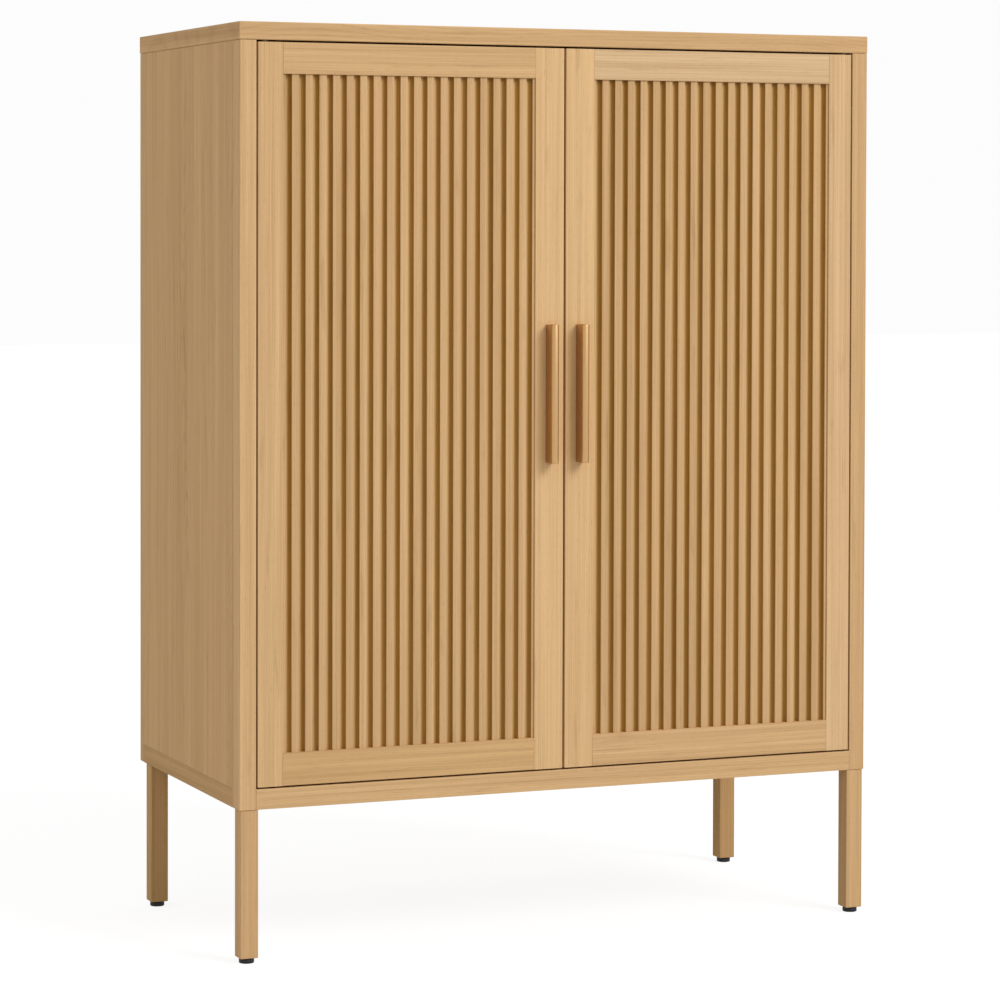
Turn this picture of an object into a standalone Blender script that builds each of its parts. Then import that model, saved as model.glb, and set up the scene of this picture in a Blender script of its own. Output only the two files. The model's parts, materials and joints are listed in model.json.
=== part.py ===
"""Two-door oak cupboard on square legs.

A boarded carcass stands on four legs with levelling feet. Its doors are grooved and tenoned
frames round fluted panels. They turn on pins in the front rail and in the top, and hold shut
against magnetic catches. Two shelves rest on pins in the sides.

Metres, +Z up. The origin is on the floor, in the middle of the object's box. The front looks
along -Y. Sizes are the pieces' own, and places are worked out from them.
"""

from math import cos, pi, radians, sin

import bmesh
import bpy
from mathutils import Matrix, Vector

# The whole cupboard
width = 0.900
depth = 0.440
height = 1.200

# Seats, rounding and cuts
joint_gap = 0.0003
edge_round = 0.0004
round_segments = 2
cut_overrun = 0.002
merge_distance = 0.00001
round_sides = 24
pin_hole_sides = 12

# Top
top_thickness = 0.023
top_overhang = 0.001
top_edge_round = 0.0012

# Carcass
post_width = 0.022
post_depth = 0.030
rear_stile_depth = 0.014
side_thickness = 0.018
side_tongue_thickness = 0.006
side_tongue_length = 0.006
side_rail_height = 0.024
front_rail_height = 0.026
front_rail_depth = 0.022
rear_rail_height = 0.045
back_thickness = 0.006
floor_thickness = 0.018
floor_tongue_thickness = 0.006
floor_tongue_length = 0.005

# Legs and levelling feet
leg_width = 0.024
leg_height = 0.190
leg_edge_round = 0.001
leg_side_inset = 0.0015
front_leg_inset = 0.0008
rear_leg_inset = 0.0235
leg_dowel_diameter = 0.010
leg_dowel_length = 0.009
leg_dowel_root = 0.005
foot_diameter = 0.0195
foot_height = 0.007
foot_edge = 0.001
foot_stem_seat = 0.0025
foot_stem_diameter = 0.008
foot_stem_length = 0.024
foot_stem_tip = 0.0008

# Doors
door_thickness = 0.020
door_side_gap = 0.0022
door_top_gap = 0.0025
door_bottom_gap = 0.0024
door_centre_gap = 0.003
door_edge_round = 0.0006
hinge_stile_width = 0.0335
meeting_stile_width = 0.0405
door_top_rail_height = 0.040
door_bottom_rail_height = 0.042
door_tongue_thickness = 0.006
door_tongue_length = 0.008
door_tongue_setback = 0.0085

# Fluted door panels
land_recess = 0.002
panel_thickness = 0.014
flute_pitch = 0.0185
flute_width = 0.0088
flute_depth = 0.0055
flute_margin = 0.002
flute_segments = 12

# Handles
handle_width = 0.011
handle_projection = 0.023
handle_length = 0.182
handle_rise = 0.0209
handle_edge_round = 0.0007
handle_segments = 12

# Door pivots
pivot_edge_distance = 0.010
pivot_setback = 0.006
pivot_pin_diameter = 0.005
pivot_clearance = 0.0003
pivot_pin_reach = 0.018
pivot_pin_tip = 0.0006
pivot_end_clearance = 0.001
pivot_collar_diameter = 0.0096
bush_diameter = 0.008
bush_length = 0.010
bush_flange_diameter = 0.0104
bush_flange_thickness = 0.0006

# Magnetic catches and their strike plates
catch_width = 0.034
catch_depth = 0.012
catch_height = 0.012
strike_width = 0.026
strike_height = 0.009
strike_thickness = 0.001
strike_inset = 0.001

# Shelves and their pins
shelf_count = 2
shelf_thickness = 0.018
shelf_setback = 0.032
shelf_side_gap = 0.001
shelf_back_gap = 0.002
shelf_pin_inset = 0.040
shelf_pin_diameter = 0.005
shelf_pin_length = 0.008
shelf_pin_head_diameter = 0.007
shelf_pin_head_length = 0.007
pin_hole_spacing = 0.032
pin_hole_steps = (-1, 0, 1)

# Which edges are rounded, and how sharp a corner has to be to stay sharp
side_share = 0.5
handle_corner_angle = radians(60.0)
shading_corner_angle = radians(30.0)

# Finishes: colour, metallic and roughness
FINISHES = {
    "oak": ((0.597, 0.386, 0.191, 1.0), 0.0, 0.48),
    "black_plastic": ((0.018, 0.018, 0.019, 1.0), 0.0, 0.45),
    "brushed_brass": ((0.52, 0.35, 0.18, 1.0), 1.0, 0.34),
    "brass": ((0.72, 0.53, 0.24, 1.0), 1.0, 0.30),
    "steel": ((0.56, 0.56, 0.57, 1.0), 1.0, 0.35),
}

# Places that several pieces share
front_y = (handle_projection - depth) / 2
back_y = front_y + depth
outer_x = width / 2 - top_overhang
post_inner_x = outer_x - post_width
side_inner_x = outer_x - side_thickness
base_z = foot_height + leg_height
floor_top_z = base_z + side_rail_height
carcass_top_z = height - top_thickness
post_back_y = front_y + post_depth
side_back_y = back_y - rear_stile_depth
back_panel_y = side_back_y - joint_gap - back_thickness
side_tongue_x = outer_x - side_thickness / 2
floor_tongue_z = floor_top_z - floor_thickness / 2

opening_low_z = base_z + front_rail_height
door_outer_x = post_inner_x - door_side_gap
door_inner_x = door_centre_gap / 2
door_low_z = opening_low_z + door_bottom_gap
door_high_z = carcass_top_z - door_top_gap
door_back_y = front_y + door_thickness
sight_outer_x = door_outer_x - hinge_stile_width
sight_inner_x = door_inner_x + meeting_stile_width
sight_low_z = door_low_z + door_bottom_rail_height
sight_high_z = door_high_z - door_top_rail_height
door_tongue_y = (front_y + door_tongue_setback, front_y + door_tongue_setback + door_tongue_thickness)
door_groove_y = (door_tongue_y[0] - joint_gap, door_tongue_y[1] + joint_gap)
door_groove_depth = door_tongue_length + joint_gap
stile_centre_x = door_inner_x + meeting_stile_width / 2

pivot_x = door_outer_x - pivot_edge_distance
pivot_y = front_y + pivot_setback

leg_x = outer_x - leg_side_inset - leg_width / 2
front_leg_y = front_y + front_leg_inset + leg_width / 2
rear_leg_y = back_y - rear_leg_inset - leg_width / 2

shelf_front_y = front_y + shelf_setback
shelf_back_y = back_panel_y - shelf_back_gap
shelf_pin_rows_y = (shelf_front_y + shelf_pin_inset, shelf_back_y - shelf_pin_inset)
compartment_height = (carcass_top_z - floor_top_z - shelf_count * shelf_thickness) / (shelf_count + 1)

SIDES = (("left", -1), ("right", 1))
X, Y, Z = range(3)


def clear_scene():
    """Take out whatever the scene holds and add the two collections."""
    for leftover in list(bpy.data.objects):
        bpy.data.objects.remove(leftover, do_unlink=True)
    for name in ("oak_cupboard", "cutters"):
        bpy.context.scene.collection.children.link(bpy.data.collections.new(name))


def finish_material(piece_name, finish):
    """The piece's own material in one of the cupboard's finishes."""
    colour, metallic, roughness = FINISHES[finish]
    material = bpy.data.materials.new(piece_name + "_" + finish)
    material.use_nodes = True
    shader = material.node_tree.nodes["Principled BSDF"]
    shader.inputs["Base Color"].default_value = colour
    shader.inputs["Metallic"].default_value = metallic
    shader.inputs["Roughness"].default_value = roughness
    material.diffuse_color = colour
    return material


def add_piece(name, mesh, place, finish):
    """A piece of the cupboard, or a cutter where it has no finish."""
    piece = bpy.data.objects.new(name, mesh)
    piece.location = place
    if finish:
        mesh.materials.append(finish_material(name, finish))
        bpy.data.collections["oak_cupboard"].objects.link(piece)
    else:
        piece.hide_render = True
        piece.display_type = "WIRE"
        bpy.data.collections["cutters"].objects.link(piece)
    return piece


def mesh_from(bm, name):
    """Write a bmesh to a new mesh and free it."""
    mesh = bpy.data.meshes.new(name)
    bm.to_mesh(mesh)
    bm.free()
    return mesh


def box(name, spans, finish=None):
    """A board between two places along each of X, Y and Z, in either order."""
    low = Vector(min(span) for span in spans)
    high = Vector(max(span) for span in spans)
    bm = bmesh.new()
    bmesh.ops.create_cube(bm, size=1.0, matrix=Matrix.Diagonal((*(high - low), 1.0)))
    return add_piece(name, mesh_from(bm, name), (low + high) / 2, finish)


def rod(name, diameter, length, place, direction, sides):
    """A straight round cutter or dowel that starts at place and runs along direction."""
    bm = bmesh.new()
    bmesh.ops.create_cone(
        bm, cap_ends=True, segments=sides, radius1=diameter / 2, radius2=diameter / 2, depth=length
    )
    bmesh.ops.translate(bm, verts=bm.verts, vec=(0.0, 0.0, length / 2))
    piece = add_piece(name, mesh_from(bm, name), place, None)
    piece.rotation_euler = Vector(direction).to_track_quat("Z", "Y").to_euler()
    return piece


def turned(name, profile, place, finish, sides=round_sides, closed=False):
    """A turned piece: a profile of (radius, level) points, run down its outer side, about Z."""
    count = len(profile)
    edges = [(index, index + 1) for index in range(count - 1)]
    if closed:
        edges.append((count - 1, 0))
    mesh = bpy.data.meshes.new(name)
    mesh.from_pydata([(radius, 0.0, level) for radius, level in profile], edges, [])
    piece = add_piece(name, mesh, place, finish)
    turn = piece.modifiers.new("turn", "SCREW")
    turn.axis = "Z"
    turn.angle = 2 * pi
    turn.steps = sides
    turn.render_steps = sides
    turn.use_merge_vertices = True
    turn.merge_threshold = merge_distance
    return piece


def raised_outline(name, points, span, finish):
    """An outline in plan, raised between two places along Z."""
    curve = bpy.data.curves.new(name + "_outline", "CURVE")
    curve.dimensions = "2D"
    curve.fill_mode = "BOTH"
    curve.extrude = (span[1] - span[0]) / 2
    spline = curve.splines.new("POLY")
    spline.points.add(len(points) - 1)
    for point, (x, y) in zip(spline.points, points):
        point.co = (x, y, 0.0, 1.0)
    spline.use_cyclic_u = True
    outline = bpy.data.objects.new(name + "_outline", curve)
    outline.location = (0.0, 0.0, (span[0] + span[1]) / 2)
    bpy.context.scene.collection.objects.link(outline)
    bpy.context.view_layer.update()
    graph = bpy.context.evaluated_depsgraph_get()
    mesh = bpy.data.meshes.new_from_object(outline.evaluated_get(graph))
    bm = bmesh.new()
    bm.from_mesh(mesh)
    bmesh.ops.remove_doubles(bm, verts=bm.verts, dist=merge_distance)
    bmesh.ops.recalc_face_normals(bm, faces=bm.faces)
    bm.to_mesh(mesh)
    bm.free()
    piece = add_piece(name, mesh, (0.0, 0.0, 0.0), finish)
    piece.matrix_world = outline.matrix_world
    bpy.data.objects.remove(outline, do_unlink=True)
    return piece


def round_edges(piece, radius, chosen=None):
    """Round the edges whose middles are chosen, in places from -1 to 1 across the piece's box."""
    bm = bmesh.new()
    bm.from_mesh(piece.data)
    low = Vector(min(vertex.co[axis] for vertex in bm.verts) for axis in range(3))
    high = Vector(max(vertex.co[axis] for vertex in bm.verts) for axis in range(3))
    middle = (low + high) / 2
    reach = (high - low) / 2
    edges = []
    for edge in bm.edges:
        offset = (edge.verts[0].co + edge.verts[1].co) / 2 - middle
        share = Vector(offset[axis] / reach[axis] for axis in range(3))
        if chosen is None or chosen(share):
            edges.append(edge)
    bmesh.ops.bevel(
        bm, geom=edges, offset=radius, segments=round_segments, profile=0.5, affect="EDGES"
    )
    bm.to_mesh(piece.data)
    bm.free()


def hold(parent, piece):
    """Parent a piece where it stands."""
    bpy.context.view_layer.update()
    piece.parent = parent
    piece.matrix_parent_inverse = parent.matrix_world.inverted()


def combine(piece, other, operation):
    """Cut the piece with the other shape, or unite them. The other shape follows the piece."""
    change = piece.modifiers.new(other.name, "BOOLEAN")
    change.operation = operation
    change.object = other
    hold(piece, other)


def cut(piece, *cutters):
    """Cut each of the cutters out of the piece."""
    for cutter in cutters:
        combine(piece, cutter, "DIFFERENCE")


def joined_cutter(name, cutters):
    """One cutter from several that lie apart."""
    bpy.context.view_layer.update()
    bm = bmesh.new()
    for cutter in cutters:
        mesh = cutter.data.copy()
        mesh.transform(cutter.matrix_world)
        bm.from_mesh(mesh)
        bpy.data.meshes.remove(mesh)
        bpy.data.objects.remove(cutter, do_unlink=True)
    return add_piece(name, mesh_from(bm, name), (0.0, 0.0, 0.0), None)


def end_rebates(name, spans, axis, reach, face_axis, tongue):
    """The cutter that leaves a tongue at both ends of a board, past its shoulders along axis."""
    (low, high), (back, front) = spans[axis], spans[face_axis]
    rebates = []
    for shoulder, past in ((low, low - reach - cut_overrun), (high, high + reach + cut_overrun)):
        for face, beyond in ((tongue[0], back - cut_overrun), (tongue[1], front + cut_overrun)):
            cutter_spans = [(span[0] - cut_overrun, span[1] + cut_overrun) for span in spans]
            cutter_spans[axis] = (shoulder, past)
            cutter_spans[face_axis] = (face, beyond)
            rebates.append(box(name + "_rebate", cutter_spans))
    return joined_cutter(name + "_rebates", rebates)


def tongued_board(name, spans, axis, reach, face_axis, tongue):
    """An oak board from shoulder to shoulder along axis, with a tongue at both of its ends."""
    whole = list(spans)
    whole[axis] = (spans[axis][0] - reach, spans[axis][1] + reach)
    return box(name, whole, "oak"), end_rebates(name, spans, axis, reach, face_axis, tongue)


def mirrored(side, *places):
    """Places along X on the given side, from low to high."""
    return tuple(sorted(side * place for place in places))


def around(middle, size):
    """The two ends of a size that is centred on middle."""
    return (middle - size / 2, middle + size / 2)


def build_top():
    """The top board, bored below for the upper pivot bushes."""
    top = box("top_panel", (around(0.0, width), (front_y, back_y), (carcass_top_z, height)), "oak")
    round_edges(top, top_edge_round)
    for side_name, side in SIDES:
        cut(top, bush_bore("top_panel_" + side_name, side, carcass_top_z, 1))


def bush_bore(owner, side, seat_z, direction):
    """The cutter for a pivot bush, from a seat face into the board behind it."""
    return rod(
        owner + "_bush_bore",
        bush_diameter + 2 * joint_gap,
        bush_length + cut_overrun,
        (side * pivot_x, pivot_y, seat_z - direction * cut_overrun),
        (0.0, 0.0, direction),
        round_sides,
    )


def leg_bore(owner, side, leg_y):
    """The cutter for a leg's dowel, from the carcass's underside up."""
    return rod(
        owner + "_leg_bore",
        leg_dowel_diameter + 2 * joint_gap,
        leg_dowel_length + joint_gap + cut_overrun,
        (side * leg_x, leg_y, base_z - cut_overrun),
        (0.0, 0.0, 1.0),
        round_sides,
    )


def side_groove(owner, side, face_y, direction):
    """The cutter for the side's tongue, in the face of an upright, all the way up it."""
    return box(
        owner + "_groove",
        (
            around(side * side_tongue_x, side_tongue_thickness + 2 * joint_gap),
            (face_y - direction * cut_overrun, face_y + direction * (side_tongue_length + joint_gap)),
            (base_z - cut_overrun, carcass_top_z + cut_overrun),
        ),
    )


def build_uprights():
    """The front posts and rear stiles, grooved for the tongues of the side boards."""
    upright_z = (base_z, carcass_top_z - joint_gap)
    for side_name, side in SIDES:
        name = side_name + "_front_post"
        post = box(name, (mirrored(side, post_inner_x, outer_x), (front_y, post_back_y), upright_z), "oak")
        round_edges(post, edge_round)
        cut(post, side_groove(name, side, post_back_y, -1), leg_bore(name, side, front_leg_y))
        name = side_name + "_rear_stile"
        stile = box(name, (mirrored(side, post_inner_x, outer_x), (side_back_y, back_y), upright_z), "oak")
        round_edges(stile, edge_round)
        cut(stile, side_groove(name, side, side_back_y, 1))


def shelf_pin_levels():
    """The height of each shelf's pins, from the bottom shelf up."""
    levels = []
    for number in range(1, shelf_count + 1):
        underside = floor_top_z + number * compartment_height + (number - 1) * shelf_thickness
        levels.append(underside - joint_gap - shelf_pin_head_diameter / 2)
    return levels


def build_sides():
    """The side panels and the rails under them, tongued into the uprights."""
    along = (post_back_y + joint_gap, side_back_y - joint_gap)
    reach = side_tongue_length + joint_gap
    for side_name, side in SIDES:
        tongue = around(side * side_tongue_x, side_tongue_thickness)
        name = side_name + "_side_panel"
        panel_z = (floor_top_z + joint_gap, carcass_top_z - joint_gap)
        panel_spans = (mirrored(side, side_inner_x, outer_x), along, panel_z)
        panel, rebates = tongued_board(name, panel_spans, Y, reach, X, tongue)
        cut(panel, rebates, shelf_pin_holes(name, side))
        name = side_name + "_bottom_rail"
        rail_spans = (mirrored(side, post_inner_x, outer_x), along, (base_z, floor_top_z))
        rail, rebates = tongued_board(name, rail_spans, Y, reach, X, tongue)
        groove = box(
            name + "_floor_groove",
            (
                mirrored(side, post_inner_x - cut_overrun, post_inner_x + floor_tongue_length + joint_gap),
                (front_y, back_y),
                around(floor_tongue_z, floor_tongue_thickness + 2 * joint_gap),
            ),
        )
        cut(rail, rebates, groove, leg_bore(name, side, rear_leg_y))


def shelf_pin_holes(owner, side):
    """The cutter for one side's rows of shelf pin holes."""
    holes = []
    for row_y in shelf_pin_rows_y:
        for level in shelf_pin_levels():
            for step in pin_hole_steps:
                holes.append(
                    rod(
                        owner + "_hole",
                        shelf_pin_diameter + 2 * joint_gap,
                        shelf_pin_length + joint_gap + cut_overrun,
                        (side * (side_inner_x - cut_overrun), row_y, level + step * pin_hole_spacing),
                        (side, 0.0, 0.0),
                        pin_hole_sides,
                    )
                )
    return joined_cutter(owner + "_pin_holes", holes)


def build_floor():
    """The cupboard's floor, tongued into the side rails and notched round the front posts."""
    spans = (
        (-post_inner_x + joint_gap, post_inner_x - joint_gap),
        (front_y + front_rail_depth + joint_gap, side_back_y - joint_gap),
        (floor_top_z - floor_thickness, floor_top_z),
    )
    tongue = around(floor_tongue_z, floor_tongue_thickness)
    panel, rebates = tongued_board("floor_panel", spans, X, floor_tongue_length + joint_gap, Z, tongue)
    cut(panel, rebates)
    for side_name, side in SIDES:
        notch = box(
            "floor_" + side_name + "_notch",
            (
                mirrored(side, post_inner_x - 2 * joint_gap, outer_x),
                (front_y, post_back_y + joint_gap),
                (base_z, floor_top_z + cut_overrun),
            ),
        )
        cut(panel, notch)


def build_cross_rails():
    """The rails between the uprights: one in front, bored for the lower bushes, and two behind."""
    between = around(0.0, 2 * (post_inner_x - joint_gap))
    rail = box(
        "front_bottom_rail",
        (between, (front_y, front_y + front_rail_depth), (base_z, opening_low_z)),
        "oak",
    )
    round_edges(rail, edge_round, lambda share: abs(share.x) < side_share)
    for side_name, side in SIDES:
        cut(rail, bush_bore("front_bottom_rail_" + side_name, side, opening_low_z, -1))
    levels = {
        "rear_bottom_rail": (base_z, base_z + rear_rail_height),
        "rear_top_rail": (carcass_top_z - joint_gap - rear_rail_height, carcass_top_z - joint_gap),
    }
    for name, level in levels.items():
        rail = box(name, (between, (side_back_y, back_y), level), "oak")
        round_edges(rail, edge_round, lambda share: abs(share.x) < side_share)


def build_back():
    """The thin back panel, on the floor and against the rear stiles and rails."""
    box(
        "back_panel",
        (
            around(0.0, 2 * (side_inner_x - joint_gap)),
            (back_panel_y, back_panel_y + back_thickness),
            (floor_top_z + joint_gap, carcass_top_z - joint_gap),
        ),
        "oak",
    )


def build_shelves():
    """The shelves, and the four pins under each of them."""
    for number, level in enumerate(shelf_pin_levels(), start=1):
        underside = level + shelf_pin_head_diameter / 2 + joint_gap
        shelf = box(
            "shelf_" + str(number),
            (
                around(0.0, 2 * (side_inner_x - shelf_side_gap)),
                (shelf_front_y, shelf_back_y),
                (underside, underside + shelf_thickness),
            ),
            "oak",
        )
        round_edges(shelf, edge_round)
        for side_name, side in SIDES:
            for row_name, row_y in zip(("front", "rear"), shelf_pin_rows_y):
                pin_name = "shelf_" + str(number) + "_" + side_name + "_" + row_name + "_pin"
                build_shelf_pin(pin_name, side, row_y, level)


def build_shelf_pin(name, side, row_y, level):
    """A turned shelf pin: its shank in the side, its head inside the cupboard."""
    head_radius = shelf_pin_head_diameter / 2
    shank_radius = shelf_pin_diameter / 2
    profile = [
        (0.0, shelf_pin_length),
        (shank_radius, shelf_pin_length),
        (shank_radius, -joint_gap),
        (head_radius, -joint_gap),
        (head_radius, -shelf_pin_head_length),
        (0.0, -shelf_pin_head_length),
    ]
    pin = turned(name, profile, (side * side_inner_x, row_y, level), "steel", sides=pin_hole_sides)
    pin.rotation_euler = Vector((side, 0.0, 0.0)).to_track_quat("Z", "Y").to_euler()


def build_legs():
    """The legs, each dowelled into the carcass, and their levelling feet."""
    for end_name, leg_y in (("front", front_leg_y), ("rear", rear_leg_y)):
        for side_name, side in SIDES:
            name = side_name + "_" + end_name + "_leg"
            centre_x = side * leg_x
            leg = box(
                name,
                (around(centre_x, leg_width), around(leg_y, leg_width), (foot_height, base_z - joint_gap)),
                "oak",
            )
            round_edges(leg, leg_edge_round)
            dowel = rod(
                name + "_dowel",
                leg_dowel_diameter,
                leg_dowel_root + leg_dowel_length,
                (centre_x, leg_y, base_z - leg_dowel_root),
                (0.0, 0.0, 1.0),
                round_sides,
            )
            combine(leg, dowel, "UNION")
            stem_bore = rod(
                name + "_stem_bore",
                foot_stem_diameter + 2 * joint_gap,
                foot_stem_length + joint_gap + cut_overrun,
                (centre_x, leg_y, foot_height - cut_overrun),
                (0.0, 0.0, 1.0),
                round_sides,
            )
            cut(leg, stem_bore)
            build_foot(side_name + "_" + end_name + "_foot", centre_x, leg_y)


def build_foot(name, centre_x, centre_y):
    """A levelling foot: a round pad on a stem that screws into the leg."""
    pad_radius = foot_diameter / 2
    stem_radius = foot_stem_diameter / 2
    seat_radius = stem_radius + joint_gap
    pad_top = foot_height - joint_gap
    pad_profile = [
        (0.0, foot_stem_seat),
        (seat_radius, foot_stem_seat),
        (seat_radius, pad_top),
        (pad_radius - foot_edge, pad_top),
        (pad_radius, pad_top - foot_edge),
        (pad_radius, foot_edge),
        (pad_radius - foot_edge, 0.0),
        (0.0, 0.0),
    ]
    stem_span = (foot_stem_seat + joint_gap, foot_height + foot_stem_length)
    stem_profile = [
        (0.0, stem_span[1]),
        (stem_radius - foot_stem_tip, stem_span[1]),
        (stem_radius, stem_span[1] - foot_stem_tip),
        (stem_radius, stem_span[0]),
        (0.0, stem_span[0]),
    ]
    place = (centre_x, centre_y, 0.0)
    turned(name, pad_profile, place, "black_plastic")
    turned(name + "_stem", stem_profile, place, "steel")


def build_stiles(side_name, side):
    """A door's two stiles, grooved up their inner edges. The hinge stile is bored for the pins."""
    door_z = (door_low_z, door_high_z)
    groove_z = (door_low_z - cut_overrun, door_high_z + cut_overrun)
    name = side_name + "_door_hinge_stile"
    stile_x = mirrored(side, sight_outer_x, door_outer_x)
    hinge_stile = box(name, (stile_x, (front_y, door_back_y), door_z), "oak")
    round_edges(hinge_stile, door_edge_round, lambda share: share.x * side > side_share)
    groove_x = mirrored(side, sight_outer_x - cut_overrun, sight_outer_x + door_groove_depth)
    cut(hinge_stile, box(name + "_groove", (groove_x, door_groove_y, groove_z)))
    for end_name, end_z, direction in (("lower", door_low_z, 1), ("upper", door_high_z, -1)):
        bore = rod(
            name + "_" + end_name + "_bore",
            pivot_pin_diameter + 2 * joint_gap,
            pivot_pin_reach + joint_gap + cut_overrun,
            (side * pivot_x, pivot_y, end_z - direction * cut_overrun),
            (0.0, 0.0, direction),
            round_sides,
        )
        cut(hinge_stile, bore)
    name = side_name + "_door_meeting_stile"
    stile_x = mirrored(side, door_inner_x, sight_inner_x)
    meeting_stile = box(name, (stile_x, (front_y, door_back_y), door_z), "oak")
    round_edges(meeting_stile, door_edge_round, lambda share: share.x * side < -side_share)
    groove_x = mirrored(side, sight_inner_x + cut_overrun, sight_inner_x - door_groove_depth)
    cut(meeting_stile, box(name + "_groove", (groove_x, door_groove_y, groove_z)))
    return [hinge_stile, meeting_stile]


def build_door_rails(side_name, side):
    """A door's two rails, tenoned into its stiles and grooved for the panel."""
    shoulders = mirrored(side, sight_inner_x + joint_gap, sight_outer_x - joint_gap)
    rails = []
    ends = (
        ("bottom", (door_low_z, sight_low_z), sight_low_z, -1),
        ("top", (sight_high_z, door_high_z), sight_high_z, 1),
    )
    for end_name, span, sight_z, direction in ends:
        name = side_name + "_door_" + end_name + "_rail"
        spans = (shoulders, (front_y, door_back_y), span)
        rail, rebates = tongued_board(name, spans, X, door_tongue_length + joint_gap, Y, door_tongue_y)
        round_edges(
            rail,
            door_edge_round,
            lambda share: share.z * direction > side_share and abs(share.x) < side_share,
        )
        groove = box(
            name + "_groove",
            (
                mirrored(side, door_inner_x, door_outer_x),
                door_groove_y,
                (sight_z - direction * cut_overrun, sight_z + direction * door_groove_depth),
            ),
        )
        cut(rail, rebates, groove)
        rails.append(rail)
    return rails


def fluted_outline(edges, land_y, panel_back_y):
    """The panel in plan: a board whose front has half-oval flutes between flat lands."""
    tips = (edges[0] - door_tongue_length, edges[1] + door_tongue_length)
    usable = edges[1] - edges[0] - flute_width - 2 * flute_margin
    count = int(usable / flute_pitch) + 1
    middle = (edges[0] + edges[1]) / 2
    points = [(tips[0], land_y)]
    for number in range(count):
        centre = middle + (number - (count - 1) / 2) * flute_pitch
        for step in range(flute_segments + 1):
            angle = pi * step / flute_segments
            across = -flute_width / 2 * cos(angle)
            points.append((centre + across, land_y + flute_depth * sin(angle)))
    return points + [(tips[1], land_y), (tips[1], panel_back_y), (tips[0], panel_back_y)]


def build_fluted_panel(side_name, side):
    """A door's panel: half-oval flutes between flat lands, and a tongue all round."""
    name = side_name + "_door_fluted_panel"
    sight = mirrored(side, sight_inner_x, sight_outer_x)
    land_y = front_y + land_recess
    panel_back_y = land_y + panel_thickness
    tips = (sight_low_z - door_tongue_length, sight_high_z + door_tongue_length)
    panel = raised_outline(name, fluted_outline(sight, land_y, panel_back_y), tips, "oak")
    faces = (land_y, panel_back_y)
    body_x = (sight[0] + joint_gap, sight[1] - joint_gap)
    body_z = (sight_low_z + joint_gap, sight_high_z - joint_gap)
    whole_x = (sight[0] - door_tongue_length, sight[1] + door_tongue_length)
    reach = door_tongue_length + joint_gap
    cut(
        panel,
        end_rebates(name + "_side", (body_x, faces, body_z), X, reach, Y, door_tongue_y),
        end_rebates(name + "_end", (whole_x, faces, body_z), Z, reach, Y, door_tongue_y),
    )
    return panel


def build_handle(side_name, side):
    """A solid bar handle that stands on the meeting stile: flat sides and a round front."""
    radius = handle_width / 2
    centre_x = side * stile_centre_x
    nose_y = front_y - handle_projection + radius
    points = [(centre_x - radius, front_y - joint_gap)]
    for step in range(handle_segments + 1):
        angle = pi + pi * step / handle_segments
        points.append((centre_x + radius * cos(angle), nose_y + radius * sin(angle)))
    points.append((centre_x + radius, front_y - joint_gap))
    middle_z = (door_low_z + door_high_z) / 2 + handle_rise
    handle = raised_outline(side_name + "_door_handle", points, around(middle_z, handle_length), "brushed_brass")
    rounding = handle.modifiers.new("rounding", "BEVEL")
    rounding.width = handle_edge_round
    rounding.segments = round_segments
    rounding.limit_method = "ANGLE"
    rounding.angle_limit = handle_corner_angle
    return handle


def build_pivot(side_name, side, end_name, seat_z, gap, flipped):
    """One pivot of a door: the bush in the carcass and the collared pin in the stile."""
    pin_radius = pivot_pin_diameter / 2
    collar_radius = pivot_collar_diameter / 2
    pin_top = gap + pivot_pin_reach
    pin_end = joint_gap + pivot_end_clearance - bush_length
    collar = (2 * joint_gap + bush_flange_thickness, gap - joint_gap)
    pin_profile = [
        (0.0, pin_top),
        (pin_radius - pivot_pin_tip, pin_top),
        (pin_radius, pin_top - pivot_pin_tip),
        (pin_radius, collar[1]),
        (collar_radius, collar[1]),
        (collar_radius, collar[0]),
        (pin_radius, collar[0]),
        (pin_radius, pin_end + pivot_pin_tip),
        (pin_radius - pivot_pin_tip, pin_end),
        (0.0, pin_end),
    ]
    bore_radius = pin_radius + pivot_clearance
    flange = (joint_gap, joint_gap + bush_flange_thickness)
    bush_profile = [
        (bush_flange_diameter / 2, flange[1]),
        (bush_flange_diameter / 2, flange[0]),
        (bush_diameter / 2, flange[0]),
        (bush_diameter / 2, joint_gap - bush_length),
        (bore_radius, joint_gap - bush_length),
        (bore_radius, flange[1]),
    ]
    place = (side * pivot_x, pivot_y, seat_z)
    pin = turned(side_name + "_door_" + end_name + "_pin", pin_profile, place, "brass")
    bush = turned(
        side_name + "_" + end_name + "_pivot_bush", bush_profile, place, "brass", closed=True
    )
    if flipped:
        pin.rotation_euler = (pi, 0.0, 0.0)
        bush.rotation_euler = (pi, 0.0, 0.0)
    return pin


def build_catch(side_name, side):
    """A magnetic catch under the top, and its strike plate on the door's back."""
    strike_y = (door_back_y + joint_gap, door_back_y + joint_gap + strike_thickness)
    catch_front_y = strike_y[1] + joint_gap
    catch = box(
        side_name + "_magnetic_catch",
        (
            around(side * stile_centre_x, catch_width),
            (catch_front_y, catch_front_y + catch_depth),
            (carcass_top_z - joint_gap - catch_height, carcass_top_z - joint_gap),
        ),
        "black_plastic",
    )
    round_edges(catch, edge_round)
    strike_top_z = door_high_z - strike_inset
    return box(
        side_name + "_door_strike_plate",
        (
            around(side * stile_centre_x, strike_width),
            strike_y,
            (strike_top_z - strike_height, strike_top_z),
        ),
        "steel",
    )


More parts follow.
